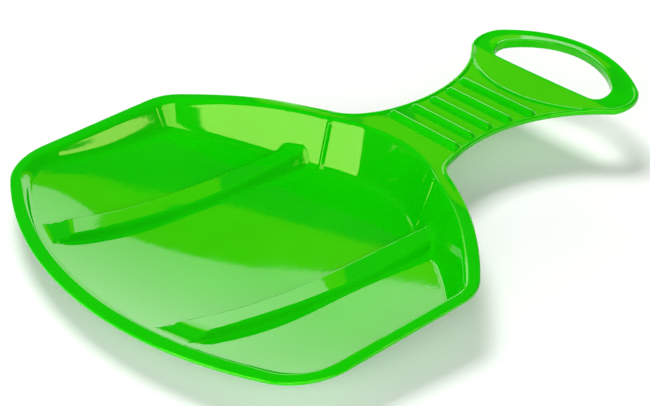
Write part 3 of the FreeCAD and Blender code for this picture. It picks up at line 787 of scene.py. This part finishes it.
# Regions, named as the nodes of the frame. A later name takes over from an earlier one.
ground = ground_height(mx, my)
runner = runner_height(mx, my)
opening = pan_inset(mx, my) > FLANGE
steep = opening & (plain_wall(mx, my) > np.maximum(ground, runner))
flat = opening & ~steep
side_name = np.where(mx < 0, "left_", "right_")
region = np.full(len(corner), "neck_plate", dtype=object)


def name_sides(chosen, name):
    """Name the chosen triangles after their side of the sled."""
    region[chosen] = [side + name for side in side_name[chosen]]


name_sides(~opening & (my < NECK_LINE), "shoulder_rim")
name_sides(~opening & (my < SIDE_LINE), "side_rim")
region[~opening & (my < TAIL_LINE)] = "tail_rim"
region[~opening & (my > HANDLE_LINE)] = "handle_plate"
region[~opening & (my > GRIP_LINE)] = "handle_grip"
name_sides(steep & (np.abs(mx) > FRONT_LINE), "shoulder_wall")
region[steep & (np.abs(mx) <= FRONT_LINE)] = "front_wall"
name_sides(steep & (my < SIDE_LINE), "side_wall")
region[steep & (my < TAIL_LINE)] = "tail_rim"
region[flat] = "seat_floor"
name_sides(flat & (runner > ground) & (np.abs(np.abs(mx) - RUNNER_X) < RUNNER_REACH), "runner")

# Top, top with ribs and underside at the points of the plan, with the normals of each.
px, py = plan[:, 0], plan[:, 1]
plate_n = normals(plate_height, px, py)
full_n = normals(full_height, px, py)
base_n = normals(base_height, px, py)
upper = np.stack([px, py, plate_height(px, py)], 1)
crest = np.stack([px, py, full_height(px, py)], 1)
lower = np.stack([px, py, base_height(px, py)], 1) - WALL * base_n
lower[:, 2] -= LIP_DROP * lip_share(px, py)
lower[:, 2] -= SKIRT_DROP * smooth_step((SKIRT_WIDTH + SKIRT_BLEND / 2 + slot_depth(px, py)) / SKIRT_BLEND)


def directions(ring, end):
    """Unit directions from the points of one ring to those of another."""
    ways = end - ring
    return ways / np.linalg.norm(ways, axis=1)[:, None]


# Rounded outer edge and slot edge, as rows of points from the top to the underside.
edge_way = np.concatenate([directions(outer_edge, sheet_ring(0.0)), directions(slot_edge, slot_ring(0.0))])
edge_tree = KDTree(len(outer_edge) + len(slot_edge))
for index, (x, y) in enumerate(np.concatenate([outer_edge, slot_edge])):
    edge_tree.insert((x, y, 0.0), index)
edge_tree.balance()


def edge_row(vertex):
    """Points and normals round the edge at a boundary point, without its two ends."""
    x, y = plan[vertex]
    spots = edge_tree.find_n((x, y, 0.0), 2)
    way = sum(edge_way[index] / (gap + LEAST_GAP) for spot, index, gap in spots)
    way = way / np.linalg.norm(way)
    slot = spots[0][1] >= len(outer_edge)
    reach = SLOT_ROUND if slot else EDGE_ROUND
    top, bottom = upper[vertex][2], lower[vertex][2]
    drop = min(reach, (top - bottom) / 2)
    row = []
    for step in range(1, EDGE_STEPS + 1):
        turn = step / EDGE_STEPS * math.pi / 2
        out = reach * math.sin(turn)
        row.append(((x + way[0] * out, y + way[1] * out, top - drop * (1 - math.cos(turn))),
                    (way[0] * math.sin(turn), way[1] * math.sin(turn), math.cos(turn))))
    base = lower[vertex]
    for step in range(EDGE_STEPS, 0, -1):
        turn = step / EDGE_STEPS * math.pi / 2
        out = reach * math.sin(turn)
        spot = (base[0] * (1 - math.sin(turn)) + (x + way[0] * out) * math.sin(turn),
                base[1] * (1 - math.sin(turn)) + (y + way[1] * out) * math.sin(turn),
                bottom + drop * (1 - math.cos(turn)))
        row.append((spot, (way[0] * math.sin(turn), way[1] * math.sin(turn), -math.cos(turn))))
    return row


def to_rest(p):
    """A point of the moulding in the frame of the part, in metres."""
    x, y, z = p
    return (x * MM, (y * math.cos(PITCH) - z * math.sin(PITCH) + SHIFT_Y) * MM,
            (y * math.sin(PITCH) + z * math.cos(PITCH) + SHIFT_Z) * MM)


def turn_rest(n):
    """A direction of the moulding in the frame of the part."""
    x, y, z = n
    return (x, y * math.cos(PITCH) - z * math.sin(PITCH), y * math.sin(PITCH) + z * math.cos(PITCH))


# Triangle to the left of each directed edge of the plan.
neighbours = {}
for index, (a, b, c) in enumerate(corner):
    for start, end in ((a, b), (b, c), (c, a)):
        neighbours[(int(start), int(end))] = index
edge_rows = {}
# A zero normal leaves a corner with the mesh's own normal.
NO_NORMAL = (0.0, 0.0, 0.0)


class Shell:
    """Vertices, faces and corner normals of one piece."""

    def __init__(self):
        self.spots = []
        self.known = {}
        self.faces = []
        self.ways = []

    def spot(self, key, place):
        """Index of the vertex with a key, made at its first use."""
        if key not in self.known:
            self.known[key] = len(self.spots)
            self.spots.append(to_rest(place))
        return self.known[key]

    def face(self, corners):
        """Add a face from the key, place and normal of each corner."""
        self.faces.append([self.spot(key, place) for key, place, way in corners])
        self.ways.extend(turn_rest(way) for key, place, way in corners)

    def build(self, name):
        """Make the object of this name."""
        mesh = bpy.data.meshes.new(name)
        mesh.from_pydata(self.spots, [], self.faces)
        mesh.polygons.foreach_set("use_smooth", [True] * len(mesh.polygons))
        mesh.normals_split_custom_set(self.ways)
        mesh.update()
        piece = bpy.data.objects.new(name, mesh)
        bpy.context.scene.collection.objects.link(piece)
        return piece


def edge_strip(vertex):
    """Corners down the rounded edge at a boundary point, from the top to the underside."""
    if vertex not in edge_rows:
        edge_rows[vertex] = edge_row(vertex)
    strip = [(("t", vertex), upper[vertex], plate_n[vertex])]
    for step, (place, way) in enumerate(edge_rows[vertex]):
        strip.append((("e", vertex, step), place, way))
    strip.append((("b", vertex), lower[vertex], -base_n[vertex]))
    return strip


def edges_of(index):
    """Directed edges of a triangle of the plan."""
    a, b, c = (int(i) for i in corner[index])
    return ((a, b), (b, c), (c, a))


def shell_of(chosen):
    """The closed shell over the chosen triangles of the plan."""
    shell = Shell()
    mine = set(chosen)
    open_ends = {}
    for index in chosen:
        a, b, c = (int(i) for i in corner[index])
        shell.face([(("t", i), upper[i], plate_n[i]) for i in (a, b, c)])
        shell.face([(("b", i), lower[i], -base_n[i]) for i in (c, b, a)])
        for i, j in edges_of(index):
            other = neighbours.get((j, i))
            if other in mine:
                continue
            if other is not None:
                top = [(("t", k), upper[k], NO_NORMAL) for k in (j, i)]
                bottom = [(("b", k), lower[k], NO_NORMAL) for k in (i, j)]
                shell.face(top + bottom)
                continue
            first, last = edge_strip(i), edge_strip(j)
            for step in range(len(first) - 1):
                shell.face([last[step], first[step], first[step + 1], last[step + 1]])
            open_ends[i] = open_ends.get(i, 0) + 1
            open_ends[j] = open_ends.get(j, 0) - 1
    for vertex, sign in open_ends.items():
        if sign:
            cap = [(key, place, NO_NORMAL) for key, place, way in edge_strip(vertex)]
            shell.face(cap if sign < 0 else cap[::-1])
    return shell


def rib_shell(chosen):
    """A closed grip rib: its crest over the plate's own top."""
    shell = Shell()
    mine = set(chosen)
    rim = set()
    for index in chosen:
        for i, j in edges_of(index):
            if neighbours.get((j, i)) not in mine:
                rim.update((i, j))
    for index in chosen:
        a, b, c = (int(i) for i in corner[index])
        shell.face([(("t", i), upper[i] if i in rim else crest[i], full_n[i]) for i in (a, b, c)])
        shell.face([(("t" if i in rim else "b", i), upper[i], NO_NORMAL) for i in (c, b, a)])
    return shell


def indices(chosen):
    """Numbers of the triangles that are chosen."""
    return [int(i) for i in np.nonzero(chosen)[0]]


pieces = {}
for name in sorted(set(region)):
    pieces[name] = shell_of(indices(region == name)).build("moulded_" + name)
in_rib = rib_depth(mx, my) > 0
for number, place in enumerate(RIB_PLACES, 1):
    name = f"grip_rib_{number}"
    chosen = indices(in_rib & (np.abs(my - place) < RIB_HALF + RIB_CLEAR))
    pieces[name] = rib_shell(chosen).build("moulded_" + name)

# Moulding: two greens that cloud into each other, and the range of its roughness.
GREENS = ((0.3, (0.002, 0.51, 0.0, 1.0)), (0.7, (0.005, 0.55, 0.0, 1.0)))
WEAR_RANGE = (0.3, 0.7)
ROUGHNESS = (0.03, 0.06)
PLASTIC_IOR = 1.5
GLOSS_TINT = (1.0, 1.0, 0.28, 1.0)
# Noises over the moulding, as scale and detail, and the depth of its uneven skin.
CLOUD = (14.0, 3.0)
WEAR = (60.0, 4.0)
PEEL = (260.0, 2.0)
PEEL_STRENGTH = 0.03
PEEL_DEPTH = 0.0004


def new_material(name):
    """A material and its empty node tree."""
    material = bpy.data.materials.new(name)
    material.use_nodes = True
    tree = material.node_tree
    tree.nodes.clear()
    return material, tree


def node(tree, kind, values=None, **settings):
    """A node with its settings and the values of its sockets."""
    made = tree.nodes.new(kind)
    for key, value in settings.items():
        setattr(made, key, value)
    for socket, value in (values or {}).items():
        made.inputs[socket].default_value = value
    return made


def noise(tree, place, look):
    """Noise over the object's own coordinates, from its scale and detail."""
    made = node(tree, "ShaderNodeTexNoise", {"Scale": look[0], "Detail": look[1]})
    tree.links.new(place.outputs["Object"], made.inputs["Vector"])
    return made.outputs["Fac"]


def moulding_material():
    """Glossy green plastic with slight clouding of its colour and a faintly uneven skin."""
    material, tree = new_material("green_moulding")
    link = tree.links.new
    out = node(tree, "ShaderNodeOutputMaterial")
    skin = node(tree, "ShaderNodeBsdfPrincipled", {"IOR": PLASTIC_IOR, "Specular Tint": GLOSS_TINT})
    link(skin.outputs["BSDF"], out.inputs["Surface"])
    place = node(tree, "ShaderNodeTexCoord")
    tint = node(tree, "ShaderNodeValToRGB")
    for stop, (position, colour) in zip(tint.color_ramp.elements, GREENS):
        stop.position = position
        stop.color = colour
    link(noise(tree, place, CLOUD), tint.inputs["Fac"])
    link(tint.outputs["Color"], skin.inputs["Base Color"])
    gloss = node(tree, "ShaderNodeMapRange", {"From Min": WEAR_RANGE[0], "From Max": WEAR_RANGE[1],
                                              "To Min": ROUGHNESS[0], "To Max": ROUGHNESS[1]})
    link(noise(tree, place, WEAR), gloss.inputs["Value"])
    link(gloss.outputs["Result"], skin.inputs["Roughness"])
    bump = node(tree, "ShaderNodeBump", {"Strength": PEEL_STRENGTH, "Distance": PEEL_DEPTH})
    link(noise(tree, place, PEEL), bump.inputs["Height"])
    link(bump.outputs["Normal"], skin.inputs["Normal"])
    return material


green = moulding_material()
for name, piece in pieces.items():
    piece.data.materials.append(green)
    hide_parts(name)
    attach(piece, "root")

# Colours of the lights.
WHITE = (1.0, 1.0, 1.0, 1.0)
YELLOW_GREEN = (0.55, 1.0, 0.05, 1.0)
# Floor: half its side, its colour, and its glow near and far, as distance from the sled and strength.
FLOOR_HALF = 6
FLOOR_COLOUR = (0.9, 0.9, 0.9, 1.0)
GLOW_NEAR = (0.7, 0.12)
GLOW_FAR = (2.0, 1.0)
# Strength of the surroundings as light, and as the camera sees them.
SKY_LIGHT = 0.06
SKY_SEEN = 1.0
# Softboxes: name, lower corner, the two sides that leave it, radiance, and whether reflections show it.
SOFTBOXES = (
    ("tail_box", (-0.36, -1.4, -0.1), (0.82, 0, 0), (0, 0, 0.72), 5.8, True),
    ("front_box", (0.75, -1.58, 0.33), (1.15, 1.43, 0), (-0.16, 0.11, 0.85), 4.0, True),
    ("side_box", (1.3, 0.47, 0.43), (0, 0.115, 0), (0, 0, 0.49), 6.0, True),
    ("overhead", (-1.75, -0.4, 2.5), (1.3, 0, 0), (0, 1.3, 0), 10.4, False),
)
# Cards behind the sled: the way to them, the way along them, and their outlines along and up.
CARD_WAY = Vector((-0.777, 0.629, 0))
CARD_ALONG = Vector((-0.629, -0.777, 0))
WASH = ((-0.9, 0.02), (0.25, 0.02), (0.25, 0.52), (0.2, 0.53), (0.19, 0.76), (0.0, 0.5), (-0.06, 0.42),
        (-0.16, 0.42), (-0.2, 0.55), (-0.9, 0.55))
GOLD = ((-1.1, 0.02), (1.0, 0.02), (1.0, 0.74), (0.235, 0.74), (0.22, 1.15), (0.09, 0.8), (0.03, 0.66),
        (-0.03, 0.57), (-0.055, 0.57), (-0.06, 0.8), (-1.1, 0.8))
END = ((0.36, 0.02), (0.9, 0.02), (0.9, 0.74), (0.58, 0.74), (0.56, 0.56), (0.36, 0.56))
# Name, outline, radiance, colour and distance of each card.
CARDS = (
    ("far_card", WASH, 2.0, WHITE, 1.2),
    ("gold_card", GOLD, 0.95, YELLOW_GREEN, 1.25),
    ("end_card", END, 2.0, WHITE, 1.2),
)
# Camera: sensor and lens in millimetres, its axes and its place.
SENSOR_WIDTH = 36.0
LENS = 83.08
CAMERA_RIGHT = Vector((0.6210, 0.7836, -0.0166))
CAMERA_UP = Vector((-0.3885, 0.3261, 0.8619))
CAMERA_BACK = Vector((0.6808, -0.5288, 0.5069))
CAMERA_PLACE = (0.7099, -0.5802, 0.5427)


def floor_material():
    """Pale floor with a white glow to the camera, in reflections and through glass, dim round the sled."""
    material, tree = new_material("pale_floor")
    link = tree.links.new
    out = node(tree, "ShaderNodeOutputMaterial")
    paint = node(tree, "ShaderNodeBsdfDiffuse", {"Color": FLOOR_COLOUR})
    glow = node(tree, "ShaderNodeEmission", {"Color": WHITE})
    path = node(tree, "ShaderNodeLightPath")
    shown = path.outputs["Is Camera Ray"]
    for ray in ("Is Glossy Ray", "Is Transmission Ray"):
        either = node(tree, "ShaderNodeMath", operation="MAXIMUM")
        link(shown, either.inputs[0])
        link(path.outputs[ray], either.inputs[1])
        shown = either.outputs["Value"]
    spot = node(tree, "ShaderNodeNewGeometry")
    reach = node(tree, "ShaderNodeVectorMath", operation="LENGTH")
    link(spot.outputs["Position"], reach.inputs[0])
    fade = node(tree, "ShaderNodeMapRange", {"From Min": GLOW_NEAR[0], "From Max": GLOW_FAR[0],
                                             "To Min": GLOW_NEAR[1], "To Max": GLOW_FAR[1]},
                interpolation_type="SMOOTHSTEP")
    link(reach.outputs["Value"], fade.inputs["Value"])
    level = node(tree, "ShaderNodeMath", operation="MULTIPLY")
    link(shown, level.inputs[0])
    link(fade.outputs["Result"], level.inputs[1])
    link(level.outputs["Value"], glow.inputs["Strength"])
    total = node(tree, "ShaderNodeAddShader")
    link(paint.outputs["BSDF"], total.inputs[0])
    link(glow.outputs["Emission"], total.inputs[1])
    link(total.outputs["Shader"], out.inputs["Surface"])
    return material


def light_material(name, colour, radiance):
    """A surface that gives off an even light."""
    material, tree = new_material(name)
    out = node(tree, "ShaderNodeOutputMaterial")
    glow = node(tree, "ShaderNodeEmission", {"Color": colour, "Strength": radiance})
    tree.links.new(glow.outputs["Emission"], out.inputs["Surface"])
    return material


def flat_panel(name, corners, material):
    """One flat face of the stage."""
    mesh = bpy.data.meshes.new(name)
    mesh.from_pydata(corners, [], [tuple(range(len(corners)))])
    mesh.update()
    mesh.materials.append(material)
    made = bpy.data.objects.new(name, mesh)
    bpy.context.scene.collection.objects.link(made)
    return made


def light_sky():
    """Dim white surroundings that the camera sees as white."""
    world = bpy.data.worlds.new("studio")
    bpy.context.scene.world = world
    world.use_nodes = True
    tree = world.node_tree
    tree.nodes.clear()
    link = tree.links.new
    out = node(tree, "ShaderNodeOutputWorld")
    dim = node(tree, "ShaderNodeBackground", {"Color": WHITE, "Strength": SKY_LIGHT})
    seen = node(tree, "ShaderNodeBackground", {"Color": WHITE, "Strength": SKY_SEEN})
    path = node(tree, "ShaderNodeLightPath")
    choose = node(tree, "ShaderNodeMixShader")
    link(path.outputs["Is Camera Ray"], choose.inputs["Fac"])
    link(dim.outputs["Background"], choose.inputs[1])
    link(seen.outputs["Background"], choose.inputs[2])
    link(choose.outputs["Shader"], out.inputs["Surface"])


def add_softbox(name, corner, across, upward, radiance, in_reflections):
    """Softbox of an even radiance from its lower corner and the two sides that leave it."""
    corner, across, upward = Vector(corner), Vector(across), Vector(upward)
    data = bpy.data.lights.new(name, "AREA")
    data.shape = "RECTANGLE"
    data.size = across.length
    data.size_y = upward.length
    data.energy = radiance * math.pi * across.length * upward.length
    lamp = bpy.data.objects.new(name, data)
    bpy.context.scene.collection.objects.link(lamp)
    x, y = across.normalized(), upward.normalized()
    turn = Matrix((x, y, x.cross(y))).transposed().to_4x4()
    lamp.matrix_world = Matrix.Translation(corner + across / 2 + upward / 2) @ turn
    lamp.visible_camera = False
    lamp.visible_glossy = in_reflections


def add_card(name, outline, radiance, colour, distance):
    """Lit card behind the sled, seen only in reflections and as light."""
    corners = [CARD_WAY * distance + CARD_ALONG * u + Vector((0, 0, z)) for u, z in outline]
    card = flat_panel(name, corners, light_material(name, colour, radiance))
    card.visible_camera = False


def add_camera():
    """The camera of the photo."""
    data = bpy.data.cameras.new("camera")
    data.sensor_width = SENSOR_WIDTH
    data.lens = LENS
    camera = bpy.data.objects.new("camera", data)
    bpy.context.scene.collection.objects.link(camera)
    turn = Matrix((CAMERA_RIGHT, CAMERA_UP, CAMERA_BACK)).transposed().to_4x4()
    camera.matrix_world = Matrix.Translation(CAMERA_PLACE) @ turn
    bpy.context.scene.camera = camera


floor_corners = [(x * FLOOR_HALF, y * FLOOR_HALF, 0) for x, y in ((-1, -1), (1, -1), (1, 1), (-1, 1))]
flat_panel("floor", floor_corners, floor_material())
light_sky()
for softbox in SOFTBOXES:
    add_softbox(*softbox)
for card in CARDS:
    add_card(*card)
add_camera()
bpy.context.scene.view_settings.view_transform = "Standard"
